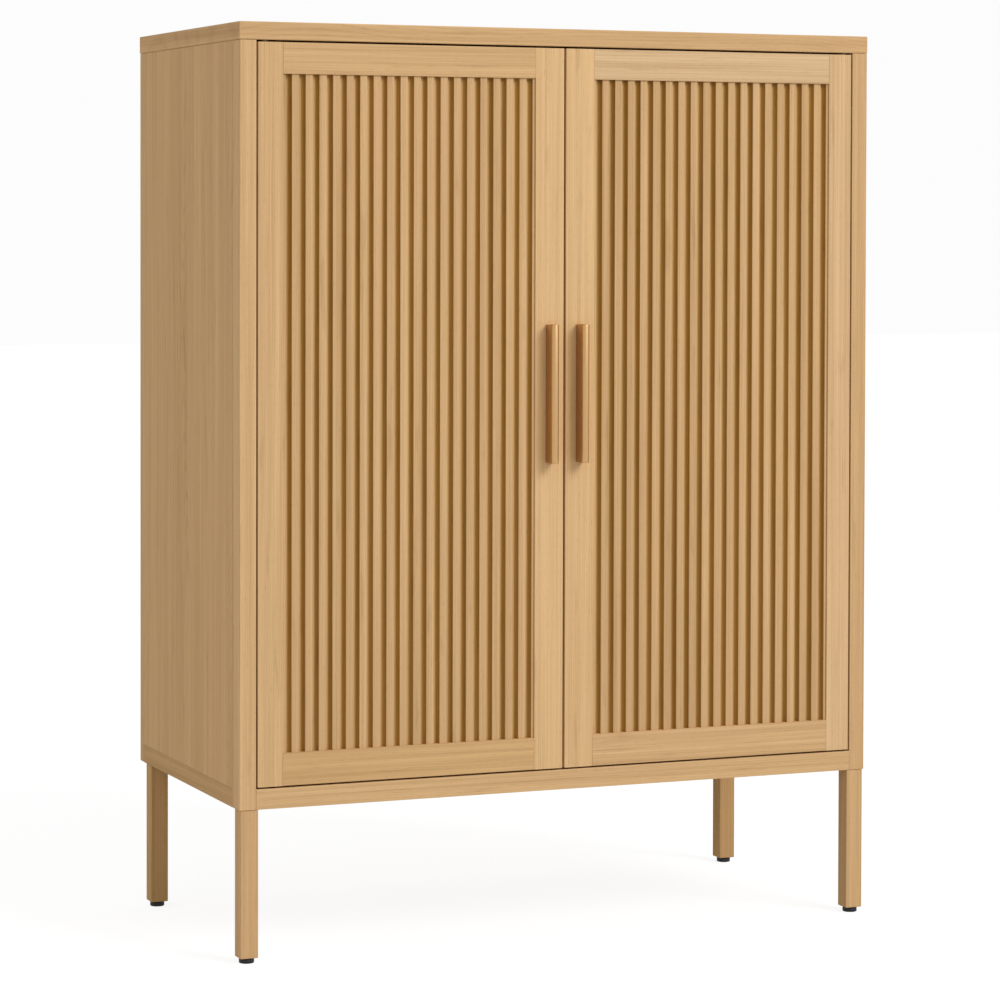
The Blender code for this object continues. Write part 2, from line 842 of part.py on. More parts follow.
def build_door(side_name, side):
    """A door with all that moves with it, held by an empty on its pivot axis."""
    axis = bpy.data.objects.new(side_name + "_door_axis", None)
    axis.location = (side * pivot_x, pivot_y, door_low_z)
    axis.empty_display_size = door_thickness
    bpy.data.collections["oak_cupboard"].objects.link(axis)
    pieces = build_stiles(side_name, side) + build_door_rails(side_name, side)
    pieces.append(build_fluted_panel(side_name, side))
    pieces.append(build_handle(side_name, side))
    pieces.append(build_pivot(side_name, side, "lower", opening_low_z, door_bottom_gap, False))
    pieces.append(build_pivot(side_name, side, "upper", carcass_top_z, door_top_gap, True))
    pieces.append(build_catch(side_name, side))
    for piece in pieces:
        hold(axis, piece)


def shade_pieces():
    """Smooth shading on every piece, with its corners kept."""
    for piece in bpy.data.collections["oak_cupboard"].objects:
        if piece.type == "MESH":
            piece.data.shade_smooth()
            piece.data.set_sharp_from_angle(angle=shading_corner_angle)


def main():
    clear_scene()
    build_top()
    build_uprights()
    build_sides()
    build_floor()
    build_cross_rails()
    build_back()
    build_shelves()
    build_legs()
    for side_name, side in SIDES:
        build_door(side_name, side)
    shade_pieces()


main()
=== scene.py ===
"""Finishes, fittings and stage of the two-door oak cupboard.

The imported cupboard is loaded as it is. Its boards get oak with grain along their length, its
fittings get metal and plastic, and the small fittings that the solids leave out are modelled
here: the finer flutes and handles, the screws, the catches' parts and the threads of the feet.
"""

import json
from math import cos, radians, sin

import bmesh
import bpy
from bpy.props import FloatProperty, FloatVectorProperty, PointerProperty
from mathutils import Matrix, Vector


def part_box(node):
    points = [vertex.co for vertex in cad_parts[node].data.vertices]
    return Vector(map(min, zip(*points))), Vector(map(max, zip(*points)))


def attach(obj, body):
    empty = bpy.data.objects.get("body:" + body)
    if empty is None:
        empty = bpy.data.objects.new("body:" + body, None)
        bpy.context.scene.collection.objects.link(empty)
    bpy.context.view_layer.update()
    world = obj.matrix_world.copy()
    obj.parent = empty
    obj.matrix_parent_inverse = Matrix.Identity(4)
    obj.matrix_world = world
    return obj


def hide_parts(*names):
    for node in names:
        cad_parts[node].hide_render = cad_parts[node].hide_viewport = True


bl_info = {
    "name": "Oak Cupboard",
    "version": (1, 0, 0),
    "blender": (4, 5, 0),
    "location": "3D View > Sidebar > Cupboard",
    "description": "Finishes and small fittings of a two-door oak cupboard with fluted doors",
    "category": "Add Mesh",
}

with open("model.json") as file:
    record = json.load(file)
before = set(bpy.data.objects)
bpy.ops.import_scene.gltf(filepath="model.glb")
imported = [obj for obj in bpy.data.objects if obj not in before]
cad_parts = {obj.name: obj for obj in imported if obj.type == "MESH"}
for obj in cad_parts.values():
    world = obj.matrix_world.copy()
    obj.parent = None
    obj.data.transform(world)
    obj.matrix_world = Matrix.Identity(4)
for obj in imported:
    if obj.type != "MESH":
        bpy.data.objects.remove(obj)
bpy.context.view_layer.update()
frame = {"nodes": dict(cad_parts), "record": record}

# The two sides, and the way along X that each of them lies
SIDES = {"left": -1, "right": 1}
ENDS = ("front", "rear")
MM = 0.001
X_AXIS = Vector((1.0, 0.0, 0.0))
Y_AXIS = Vector((0.0, 1.0, 0.0))
Z_AXIS = Vector((0.0, 0.0, 1.0))

# Settings


def colour_setting(name, description, default):
    """A colour that a user can set."""
    kind = {"subtype": "COLOR", "size": 4, "min": 0.0, "max": 1.0}
    return FloatVectorProperty(name=name, description=description, default=default, **kind)


def number_setting(name, description, default, least=0.0, **kind):
    """A number that a user can set."""
    return FloatProperty(name=name, description=description, default=default, min=least, **kind)


def length_setting(name, description, default, least=0.0):
    """A length that a user can set, in metres."""
    return number_setting(name, description, default, least, unit="LENGTH")


class OakSettings(bpy.types.PropertyGroup):
    """Colours and figure of the oak."""

    pale: colour_setting("Pale wood", "Colour of the pale latewood", (0.700, 0.456, 0.230, 1.0))
    brown: colour_setting(
        "Brown wood", "Colour of the darkest streaks of the grain", (0.400, 0.238, 0.104, 1.0)
    )
    rosy: colour_setting(
        "Rosy wood", "Colour that warms broad patches of the boards", (0.610, 0.352, 0.190, 1.0)
    )
    pore: colour_setting("Pores", "Colour of the open pores", (0.190, 0.098, 0.038, 1.0))
    ring_spacing: length_setting(
        "Ring spacing", "Distance between the growth rings", 0.0032, 0.0005
    )
    figure: number_setting(
        "Figure", "How strongly the growth rings show", 0.11, max=1.0, subtype="FACTOR"
    )
    streaks: number_setting(
        "Streaks", "How strongly the streaks along the grain show", 0.8, max=2.0, subtype="FACTOR"
    )


class FluteSettings(bpy.types.PropertyGroup):
    """The flutes of the door panels."""

    pitch: length_setting("Pitch", "Distance from one flute to the next", 0.0185, 0.002)
    width: length_setting("Width", "Width of a flute", 0.0088, 0.001)
    depth: length_setting("Depth", "Depth of a flute", 0.0055, 0.0005)
    margin: length_setting("Margin", "Least width of the flat land at both sides of a panel", 0.002)
    arris: length_setting("Arris", "Rounding of the edges of a flute", 0.0004)
    # Colour of the painted shade that darkens the flutes' floors and their walls that look left
    shade: colour_setting(
        "Shade in the flutes",
        "Painted shade on the flutes' floors and on their walls that look left",
        (0.61, 0.50, 0.22, 1.0),
    )


class HandleSettings(bpy.types.PropertyGroup):
    """Shape and colour of the handles."""

    edge_radius: length_setting(
        "End rounding", "Rounding round the ends of a handle", 0.0007, 0.0001
    )
    screw_distance: length_setting(
        "Screw distance", "Distance between the two screws of a handle", 0.128, 0.03
    )
    brass: colour_setting("Handle brass", "Colour of the brushed brass", (0.60, 0.37, 0.165, 1.0))


class StageSettings(bpy.types.PropertyGroup):
    """Camera and light."""

    lens: number_setting(
        "Lens", "Focal length of the camera, in millimetres on a 36 mm sensor", 123.731, 10.0
    )
    key_strength: number_setting("Main light", "Strength of the light from the upper right", 1.7)
    room_strength: number_setting("Room light", "Strength of the light from all round", 0.665)


class CupboardSettings(bpy.types.PropertyGroup):
    """All settings of the cupboard's looks."""

    oak: PointerProperty(type=OakSettings)
    flutes: PointerProperty(type=FluteSettings)
    handles: PointerProperty(type=HandleSettings)
    stage: PointerProperty(type=StageSettings)


def settings():
    """The settings held by the scene."""
    return bpy.context.scene.cupboard


def box_of(name):
    """The low corner, the high corner and the middle of a solid's box."""
    low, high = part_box(name)
    return low, high, (low + high) / 2


# Node helpers


def add_node(tree, kind, **values):
    """Add a node and set its own values."""
    node = tree.nodes.new(kind)
    for name, value in values.items():
        setattr(node, name, value)
    return node


def feed(tree, source, socket):
    """Join an output to an input, or set the input's own value."""
    if isinstance(source, bpy.types.NodeSocket):
        tree.links.new(source, socket)
    else:
        socket.default_value = source


def maths(tree, operation, *values, clamp=False):
    """The result of a Math node."""
    node = add_node(tree, "ShaderNodeMath", operation=operation, use_clamp=clamp)
    for value, socket in zip(values, node.inputs):
        feed(tree, value, socket)
    return node.outputs["Value"]


def times(tree, first, second):
    """The product of two values."""
    return maths(tree, "MULTIPLY", first, second)


def vector_maths(tree, operation, *values, output="Vector"):
    """The result of a Vector Math node."""
    node = add_node(tree, "ShaderNodeVectorMath", operation=operation)
    for value, socket in zip(values, node.inputs):
        feed(tree, value, socket)
    return node.outputs[output]


def share_along(tree, vector, axis):
    """How far a vector reaches along an axis."""
    return vector_maths(tree, "DOT_PRODUCT", vector, tuple(axis), output="Value")


def noise(tree, place, density, detail=2.0, roughness=0.5):
    """A noise texture whose features are 1 / density across, in metres."""
    node = add_node(tree, "ShaderNodeTexNoise")
    feed(tree, vector_maths(tree, "MULTIPLY", place, density), node.inputs["Vector"])
    node.inputs["Scale"].default_value = 1.0
    node.inputs["Detail"].default_value = detail
    node.inputs["Roughness"].default_value = roughness
    return node


def spread(tree, value, low, high, to_low=0.0, to_high=1.0):
    """Map a range of values onto another, and hold it there."""
    node = add_node(tree, "ShaderNodeMapRange", clamp=True, interpolation_type="SMOOTHSTEP")
    names = ("Value", "From Min", "From Max", "To Min", "To Max")
    for name, source in zip(names, (value, low, high, to_low, to_high)):
        feed(tree, source, node.inputs[name])
    return node.outputs["Result"]


def blend(tree, factor, first, second, blend_type="MIX"):
    """Mix two colours."""
    node = add_node(tree, "ShaderNodeMix", data_type="RGBA", blend_type=blend_type)
    feed(tree, factor, node.inputs[0])
    feed(tree, first, node.inputs[6])
    feed(tree, second, node.inputs[7])
    return node.outputs[2]


def new_group(name, inputs, outputs):
    """A shader node group, the outputs of its first node and the inputs of its last."""
    group = bpy.data.node_groups.new(name, "ShaderNodeTree")
    for way, kinds in (("INPUT", inputs), ("OUTPUT", outputs)):
        for kind, names in kinds.items():
            for socket in names:
                group.interface.new_socket(socket, in_out=way, socket_type="NodeSocket" + kind)
    first, last = group.nodes.new("NodeGroupInput"), group.nodes.new("NodeGroupOutput")
    return group, first.outputs, last.inputs


def new_material(name):
    """A material with only a Principled shader in it."""
    material = bpy.data.materials.new(name)
    material.use_nodes = True
    return material, material.node_tree, material.node_tree.nodes["Principled BSDF"]


def emboss(tree, shader, height, strength, distance):
    """Raise a shader's surface by a height that changes over it."""
    bump = add_node(tree, "ShaderNodeBump")
    bump.inputs["Strength"].default_value = strength
    bump.inputs["Distance"].default_value = distance
    feed(tree, height, bump.inputs["Height"])
    feed(tree, bump.outputs["Normal"], shader.inputs["Normal"])


def dress(piece, material):
    """Give a piece one material."""
    piece.data.materials.clear()
    piece.data.materials.append(material)


# The oak

AXES = {"x": X_AXIS, "y": Y_AXIS, "z": Z_AXIS}

# How close the marks of the grain lie, per metre across, through and along a board
WANDER_DENSITY = (1.2, 1.2, 1.5)
RIPPLE_DENSITY = (30.0, 30.0, 3.0)
FIBRE_DENSITY = (900.0, 900.0, 9.0)
STREAK_DENSITY = (240.0, 240.0, 1.9)
BAND_DENSITY = (38.0, 38.0, 0.7)
PATCH_DENSITY = (11.0, 11.0, 1.6)
FLECK_DENSITY = (95.0, 95.0, 10.0)
PORE_DENSITY = (2400.0, 2400.0, 85.0)

# How much the marks, the staves' own tones and the rosy patches change the wood
STREAK_SHARE, FIBRE_SHARE, BAND_SHARE = 1.15, 0.70, 0.85
FLECK_SHARE, STAVE_SHARE, ROSY_SHARE, PORE_SHARE = 0.22, 0.12, 0.35, 0.32
COMMON_TONE = 0.25
END_GRAIN_TINT = (0.97, 0.955, 0.93, 1.0)

# The share of a ring by which its early wood has faded out, and at which the next one sets in
EARLY_END, EARLY_START = 0.45, 0.88


def centred_noise(tree, place, density, detail=2.0, roughness=0.5):
    """Noise about its own middle, from about -0.5 to 0.5."""
    fac = noise(tree, place, density, detail, roughness).outputs["Fac"]
    return maths(tree, "SUBTRACT", fac, 0.5)


def wandering(tree, place, density, detail):
    """A vector that wanders about nought over the surface."""
    vector = noise(tree, place, density, detail).outputs["Color"]
    return vector_maths(tree, "SUBTRACT", vector, (0.5, 0.5, 0.5))


def total(tree, *values, clamp=False):
    """The sum of several values."""
    result = values[0]
    for value in values[1:-1]:
        result = maths(tree, "ADD", result, value)
    return maths(tree, "ADD", result, values[-1], clamp=clamp)


def oak_group():
    """The oak's grain: growth rings, streaks, pores and tone, with the grain along Z."""
    found = bpy.data.node_groups.get("oak_grain")
    if found:
        return found
    tree, put, result = new_group(
        "oak_grain",
        {
            "Vector": ("Place", "Heart"),
            "Float": (
                *("Stave width", "Drift", "Ring spacing", "Figure"),
                *("Streaks", "Tone", "End grain", "Hollow"),
            ),
            "Color": ("Pale", "Brown", "Rosy", "Pore", "Shade"),
        },
        {"Color": ("Colour",), "Float": ("Roughness", "Height")},
    )
    apart = add_node(tree, "ShaderNodeSeparateXYZ")
    feed(tree, put["Place"], apart.inputs["Vector"])
    across, through, along = apart.outputs

    # Wide boards are glued up from staves, each cut from another part of the tree
    width = put["Stave width"]
    stave = maths(tree, "FLOOR", maths(tree, "ADD", maths(tree, "DIVIDE", across, width), 0.5))
    within = maths(tree, "SUBTRACT", across, times(tree, stave, width))
    chance = add_node(tree, "ShaderNodeTexWhiteNoise", noise_dimensions="1D")
    feed(tree, maths(tree, "ADD", stave, 0.37), chance.inputs["W"])
    joined = add_node(tree, "ShaderNodeCombineXYZ")
    for value, socket in zip((within, through, along), joined.inputs):
        feed(tree, value, socket)
    cut = vector_maths(tree, "MULTIPLY", chance.outputs["Color"], (0.02, 0.02, 5.0))
    shifted = vector_maths(tree, "ADD", joined.outputs["Vector"], cut)

    # Growth rings round a heart that lies beside or behind the face and wanders along the board
    reach = add_node(tree, "ShaderNodeVectorMath", operation="SCALE")
    feed(tree, wandering(tree, shifted, WANDER_DENSITY, 1.0), reach.inputs["Vector"])
    feed(tree, put["Drift"], reach.inputs["Scale"])
    ripple = wandering(tree, shifted, RIPPLE_DENSITY, 2.0)
    ripple = vector_maths(tree, "MULTIPLY", ripple, (2 * MM, 2 * MM, 0.0))
    from_heart = vector_maths(tree, "ADD", shifted, reach.outputs["Vector"])
    from_heart = vector_maths(tree, "ADD", from_heart, ripple)
    from_heart = vector_maths(tree, "SUBTRACT", from_heart, put["Heart"])
    from_heart = vector_maths(tree, "MULTIPLY", from_heart, (1.0, 1.0, 0.0))
    distance = vector_maths(tree, "LENGTH", from_heart, output="Value")
    phase = maths(tree, "FRACT", maths(tree, "DIVIDE", distance, put["Ring spacing"]))
    early = maths(
        tree,
        "ADD",
        spread(tree, phase, 0.0, EARLY_END, 1.0, 0.0),
        spread(tree, phase, EARLY_START, 1.0),
        clamp=True,
    )

    # Streaks and pores drawn out along the grain
    fibre = centred_noise(tree, shifted, FIBRE_DENSITY, 3.0, 0.6)
    streak = centred_noise(tree, shifted, STREAK_DENSITY, 3.0, 0.55)
    band = centred_noise(tree, shifted, BAND_DENSITY)
    patch = noise(tree, shifted, PATCH_DENSITY).outputs["Fac"]
    fleck = noise(tree, shifted, FLECK_DENSITY).outputs["Fac"]
    dash = noise(tree, shifted, PORE_DENSITY, 1.0).outputs["Fac"]
    open_share = maths(tree, "MULTIPLY_ADD", early, 0.75, 0.25)
    pores = times(tree, spread(tree, dash, 0.60, 0.70), open_share)
    lines = total(
        tree,
        times(tree, streak, STREAK_SHARE),
        times(tree, fibre, FIBRE_SHARE),
        times(tree, band, BAND_SHARE),
    )
    stave_tone = maths(tree, "SUBTRACT", chance.outputs["Value"], 0.5)
    brownness = total(
        tree,
        times(tree, lines, put["Streaks"]),
        times(tree, early, put["Figure"]),
        spread(tree, fleck, 0.60, 0.76, 0.0, FLECK_SHARE),
        times(tree, stave_tone, STAVE_SHARE),
        maths(tree, "ADD", put["Tone"], COMMON_TONE),
        clamp=True,
    )
    wood = blend(tree, brownness, put["Pale"], put["Brown"])
    rosy = blend(tree, 0.5, wood, put["Rosy"])
    wood = blend(tree, spread(tree, patch, 0.42, 0.75, 0.0, ROSY_SHARE), wood, rosy)
    wood = blend(tree, times(tree, pores, PORE_SHARE), wood, put["Pore"])
    darker = blend(tree, 1.0, wood, END_GRAIN_TINT, "MULTIPLY")
    wood = blend(tree, put["End grain"], wood, darker)
    # Painted shade: the wood is multiplied by the shade colour as far as the painted shade mask
    # reaches
    wood = blend(tree, put["Hollow"], wood, blend(tree, 1.0, wood, put["Shade"], "MULTIPLY"))
    feed(tree, wood, result["Colour"])

    uneven = (times(tree, fibre, 0.14), times(tree, pores, 0.18))
    feed(tree, total(tree, *uneven, 0.56), result["Roughness"])
    raised = (times(tree, fibre, 0.25), times(tree, early, -0.15), times(tree, pores, -1.0))
    feed(tree, total(tree, *raised), result["Height"])
    return tree


# How far apart, in metres along the grain, the cuts of two boards lie in the pattern
CUT_SPACING = 3.7

# Painted shade in the flutes sets in between these shares of their depth, ends between these behind
# the floors, and fades out as their walls turn from the left to the right
PAINTED_SHADE_START = (0.05, 0.30)
PAINTED_SHADE_END = (1.02, 1.08)
PAINTED_SHADE_LEAN = (-0.5, 0.7)


def lay_grain(tree, place, along, through, middle, number):
    """Coordinates of a board's own cut: across the board, through it and along its grain."""
    turn = Matrix((through.cross(along), through, along))
    turned = add_node(tree, "ShaderNodeMapping", vector_type="POINT")
    turned.inputs["Rotation"].default_value = turn.to_euler()
    turned.inputs["Location"].default_value = number * CUT_SPACING * Z_AXIS - turn @ middle
    feed(tree, place, turned.inputs["Vector"])
    return turned.outputs["Vector"]


def flute_painted_shade(tree, place, normal, front):
    """Where painted shade darkens a panel's flutes: on their floors and on their walls that look
    left.
    """
    flute_depth = settings().flutes.depth
    depth = share_along(tree, place, Y_AXIS)
    start, end = (
        [front + share * flute_depth for share in shares] for shares in (PAINTED_SHADE_START, PAINTED_SHADE_END)
    )
    inside = spread(tree, depth, *start)
    leaning = spread(tree, share_along(tree, normal, X_AXIS), *PAINTED_SHADE_LEAN, 1.0, 0.0)
    shaded_share = times(tree, inside, leaning)
    return times(tree, shaded_share, spread(tree, depth, *end, 1.0, 0.0))


def oak_material(name, number, tone, grain, faces, stave_width, heart, drift):
    """Oak for one board. The grain runs along its length, and each board is its own cut."""
    oak = settings().oak
    material, tree, shader = new_material("oak_" + name)
    coordinates = add_node(tree, "ShaderNodeTexCoord")
    place, normal = coordinates.outputs["Object"], coordinates.outputs["Normal"]
    low, _, middle = box_of(name)
    along, through = AXES[grain], AXES[faces]
    cut = lay_grain(tree, place, along, through, middle, number)
    end = spread(tree, maths(tree, "ABSOLUTE", share_along(tree, normal, along)), 0.6, 0.9)
    if name in EDGE_BANDED:
        strip = lay_grain(tree, place, through.cross(along), along, middle, number + 0.5)
        cut = blend(tree, end, cut, strip)
    # Painted shade: the flutes' mask on the fluted panels, a fixed share of the shade colour on a
    # few other boards
    painted_shade = OWN_SHADE_AND_WARMTH.get(name, 0.0)
    if name.endswith("fluted_panel"):
        painted_shade = flute_painted_shade(tree, place, normal, low.y)
        height = share_along(tree, place, Z_AXIS)
        tone = maths(tree, "MULTIPLY_ADD", height, PANEL_FADE, tone - PANEL_FADE * low.z)
    # Painted sheen: the pale wood is drawn towards a whitish colour on the boards that get it
    pale = Vector(oak.pale).lerp(Vector(SHEEN_WHITE), OWN_PAINTED_SHEEN.get(name, 0.0))
    pattern = add_node(tree, "ShaderNodeGroup", node_tree=oak_group())
    for socket, value in (
        ("Place", cut),
        ("End grain", end),
        ("Hollow", painted_shade),
        ("Stave width", stave_width),
        ("Heart", heart),
        ("Drift", drift),
        ("Ring spacing", oak.ring_spacing),
        ("Figure", oak.figure),
        ("Streaks", oak.streaks),
        ("Tone", tone),
        ("Pale", pale),
        ("Brown", oak.brown),
        ("Rosy", oak.rosy),
        ("Pore", oak.pore),
        ("Shade", settings().flutes.shade),
    ):
        feed(tree, value, pattern.inputs[socket])
    feed(tree, pattern.outputs["Colour"], shader.inputs["Base Color"])
    feed(tree, pattern.outputs["Roughness"], shader.inputs["Roughness"])
    emboss(tree, shader, pattern.outputs["Height"], 0.5, 0.12 * MM)
    shader.inputs["Specular IOR Level"].default_value = 0.02
    return material


# By the end of a board's name: the way of its grain, the way through its thickness, the width
# of its glued staves, the place of the tree's heart from the middle of a stave, and its drift
RIFT = (0.17, 0.05, 0.0)
OAK_BOARDS = (
    ("top_panel", "x", "z", 0.088, (0.02, 0.060, 0.0), 0.09),
    ("floor_panel", "x", "z", 0.101, (0.02, 0.070, 0.0), 0.09),
    ("shelf_1", "x", "z", 0.096, (0.03, 0.060, 0.0), 0.09),
    ("shelf_2", "x", "z", 0.096, (0.01, 0.055, 0.0), 0.09),
    ("back_panel", "z", "y", 0.172, (0.02, 0.050, 0.0), 0.12),
    ("side_panel", "z", "x", 0.204, (0.01, 0.045, 0.0), 0.13),
    ("left_bottom_rail", "y", "x", 1.0, RIFT, 0.02),
    ("right_bottom_rail", "y", "x", 1.0, RIFT, 0.02),
    ("rail", "x", "y", 1.0, RIFT, 0.03),
    ("fluted_panel", "z", "y", 0.117, (0.12, 0.06, 0.0), 0.03),
    ("stile", "z", "y", 1.0, RIFT, 0.03),
    ("post", "z", "y", 1.0, RIFT, 0.03),
    ("leg", "z", "y", 1.0, RIFT, 0.03),
)

# The boards take turns through these tones, where more is browner
COMMON_TONES = (0.00, 0.05, -0.05, 0.03, -0.03, 0.07, -0.02)

# Boards with a tone of their own, by the whole of their names
OWN_TONES = {
    "top_panel": 0.11,
    "front_bottom_rail": 0.00,
    "left_bottom_rail": 0.10,
    "left_door_top_rail": 0.10,
    "left_door_bottom_rail": -0.06,
    "right_door_top_rail": 0.05,
    "left_door_meeting_stile": -0.24,
    "right_door_meeting_stile": -0.22,
    "right_door_hinge_stile": -0.01,
    "right_front_post": 0.12,
    "left_front_post": -0.04,
    "left_front_leg": 0.10,
    "left_rear_leg": -0.06,
    "right_front_leg": 0.07,
    # The right rear leg's browner tone is partly painted shade from the body above it
    "right_rear_leg": 0.16,
    "right_door_fluted_panel": 0.05,
    "left_door_fluted_panel": 0.01,
}

# A whitish colour that stands for painted sheen, and its share in the two boards that have some of
# it
SHEEN_WHITE = (0.75, 0.60, 0.42, 1.0)
OWN_PAINTED_SHEEN = {"right_door_top_rail": 0.38, "right_door_hinge_stile": 0.16}

# How much browner the fluted panels get, per metre of height
PANEL_FADE = 0.2

# Boards whose ends are covered with a strip of long grain
EDGE_BANDED = ("top_panel",)

# Boards with a share of the flutes' painted shade colour all over: painted shade on the rear legs
# under the body, and on the side panel and the bottom rails it makes the wood browner
OWN_SHADE_AND_WARMTH = {
    "left_side_panel": 0.10,
    "left_bottom_rail": 0.21,
    "left_door_bottom_rail": 0.21,
    "left_rear_leg": 0.40,
    "right_rear_leg": 0.30,
}


def oak_nodes():
    """The names of the oak boards among the cupboard's nodes."""
    slots = {row["node"]: row["material_slot"] for row in frame["record"]["subparts"]}
    return sorted(name for name, slot in slots.items() if slot == "oak")


class CUPBOARD_OT_finish_oak(bpy.types.Operator):
    """Give every board of the cupboard its own cut of oak"""

    bl_idname = "cupboard.finish_oak"
    bl_label = "Finish the oak"

    def execute(self, context):
        for number, name in enumerate(oak_nodes()):
            board = next(row[1:] for row in OAK_BOARDS if name.endswith(row[0]))
            tone = OWN_TONES.get(name, COMMON_TONES[number % len(COMMON_TONES)])
            dress(frame["nodes"][name], oak_material(name, number, tone, *board))
        return {"FINISHED"}


# Metals and plastic

# How close the marks lie, per metre: the lines and clouds of brushing, the grain and clouds of
# plastic
BRUSHING_DENSITY, BRUSHING_CLOUDS = (9000.0, 9000.0, 40.0), (90.0, 90.0, 25.0)
SKIN_DENSITY, SKIN_CLOUDS = (4200.0, 4200.0, 4200.0), (140.0, 140.0, 140.0)


def brushed_group():
    """Fine brushing lines along Z: a mask, a roughness and a height."""
    found = bpy.data.node_groups.get("brushing")
    if found:
        return found
    inputs = {"Vector": ("Place",), "Float": ("Roughness", "Depth")}
    tree, put, result = new_group("brushing", inputs, {"Float": ("Mask", "Roughness", "Height")})
    lines = noise(tree, put["Place"], BRUSHING_DENSITY, 2.0, 0.6).outputs["Fac"]
    cloud = centred_noise(tree, put["Place"], BRUSHING_CLOUDS)
    centred_lines = maths(tree, "SUBTRACT", lines, 0.5)
    uneven = total(tree, times(tree, centred_lines, 0.16), times(tree, cloud, 0.10))
    rough = maths(tree, "ADD", put["Roughness"], uneven, clamp=True)
    feed(tree, lines, result["Mask"])
    feed(tree, rough, result["Roughness"])
    feed(tree, times(tree, lines, put["Depth"]), result["Height"])
    return tree


def tinted(colour, share):
    """A colour made darker or lighter by a share."""
    return tuple(share * part for part in colour[:3]) + (1.0,)


def metal_material(name, colour, roughness, brushing_depth):
    """A metal with fine lines along Z."""
    material, tree, shader = new_material(name)
    place = add_node(tree, "ShaderNodeTexCoord")
    brushing = add_node(tree, "ShaderNodeGroup", node_tree=brushed_group())
    feed(tree, place.outputs["Object"], brushing.inputs["Place"])
    feed(tree, roughness, brushing.inputs["Roughness"])
    feed(tree, brushing_depth, brushing.inputs["Depth"])
    mask = spread(tree, brushing.outputs["Mask"], 0.3, 0.7)
    feed(tree, blend(tree, mask, tinted(colour, 0.82), colour), shader.inputs["Base Color"])
    feed(tree, brushing.outputs["Roughness"], shader.inputs["Roughness"])
    shader.inputs["Metallic"].default_value = 1.0
    emboss(tree, shader, brushing.outputs["Height"], 0.4, 0.02 * MM)
    return material


def plastic_material(name, colour):
    """Moulded matt plastic with a fine grained skin."""
    material, tree, shader = new_material(name)
    place = add_node(tree, "ShaderNodeTexCoord").outputs["Object"]
    grain = noise(tree, place, SKIN_DENSITY, 2.0, 0.6).outputs["Fac"]
    cloud = noise(tree, place, SKIN_CLOUDS).outputs["Fac"]
    mask = spread(tree, cloud, 0.35, 0.75)
    feed(tree, blend(tree, mask, colour, tinted(colour, 1.7)), shader.inputs["Base Color"])
    feed(tree, spread(tree, grain, 0.3, 0.7, 0.52, 0.66), shader.inputs["Roughness"])
    emboss(tree, shader, grain, 0.5, 0.05 * MM)
    shader.inputs["Specular IOR Level"].default_value = 0.3
    return material


def fitting_material(slot):
    """The shared material of a slot's fittings."""
    name = "finished_" + slot
    found = bpy.data.materials.get(name)
    if found:
        return found
    if slot == "brushed_brass":
        return metal_material(name, tuple(settings().handles.brass), 0.38, 0.3)
    if slot == "brass":
        return metal_material(name, (0.12, 0.08, 0.035, 1.0), 0.42, 0.3)
    if slot == "steel":
        return metal_material(name, (0.56, 0.56, 0.57, 1.0), 0.34, 0.5)
    if slot == "black_plastic":
        return plastic_material(name, (0.010, 0.010, 0.011, 1.0))
    raise ValueError("no finish is kept for the slot " + slot)


class CUPBOARD_OT_finish_fittings(bpy.types.Operator):
    """Give the metal and plastic fittings their finishes"""

    bl_idname = "cupboard.finish_fittings"
    bl_label = "Finish the fittings"

    def execute(self, context):
        for row in frame["record"]["subparts"]:
            if row["material_slot"] != "oak":
                dress(frame["nodes"][row["node"]], fitting_material(row["material_slot"]))
        return {"FINISHED"}


# Modelling helpers


def deselect_all():
    """Leave edit mode and deselect every object."""
    if bpy.context.mode != "OBJECT":
        enter("OBJECT")
    bpy.ops.object.select_all(action="DESELECT")


def link(thing):
    """Put a new object into the scene."""
    bpy.context.scene.collection.objects.link(thing)
    return thing


def enter(mode):
    """Change between object mode and edit mode."""
    bpy.ops.object.mode_set(mode=mode)


def make_active(piece):
    """Select one piece alone and make it the active one."""
    deselect_all()
    piece.select_set(True)
    bpy.context.view_layer.objects.active = piece


def choose(test, kind="faces"):
    """In edit mode, select the faces or edges that pass a test."""
    bpy.ops.mesh.select_mode(type={"edges": "EDGE", "faces": "FACE"}[kind])
    bpy.ops.mesh.select_all(action="DESELECT")
    mesh = bpy.context.edit_object.data
    bm = bmesh.from_edit_mesh(mesh)
    for part in getattr(bm, kind):
        if test(part):
            part.select_set(True)
    bmesh.update_edit_mesh(mesh)


def use_modifier(piece, kind, **values):
    """Add a modifier and apply it."""
    make_active(piece)
    modifier = piece.modifiers.new(kind.lower(), kind)
    for key, value in values.items():
        setattr(modifier, key, value)
    bpy.ops.object.modifier_apply(modifier=modifier.name)


def apply_place():
    """Put the active piece's place, turn and scale into its mesh."""
    bpy.ops.object.transform_apply(location=True, rotation=True, scale=True)
    return bpy.context.object


def push_out(*distance):
    """In edit mode, extrude the chosen faces by a distance."""
    bpy.ops.mesh.extrude_region_move(TRANSFORM_OT_translate={"value": distance})


def start_box(low, high):
    """Start a piece as a box between two corners."""
    deselect_all()
    low, high = Vector(low), Vector(high)
    bpy.ops.mesh.primitive_cube_add(size=1.0, location=(low + high) / 2)
    bpy.context.object.scale = high - low
    return apply_place()


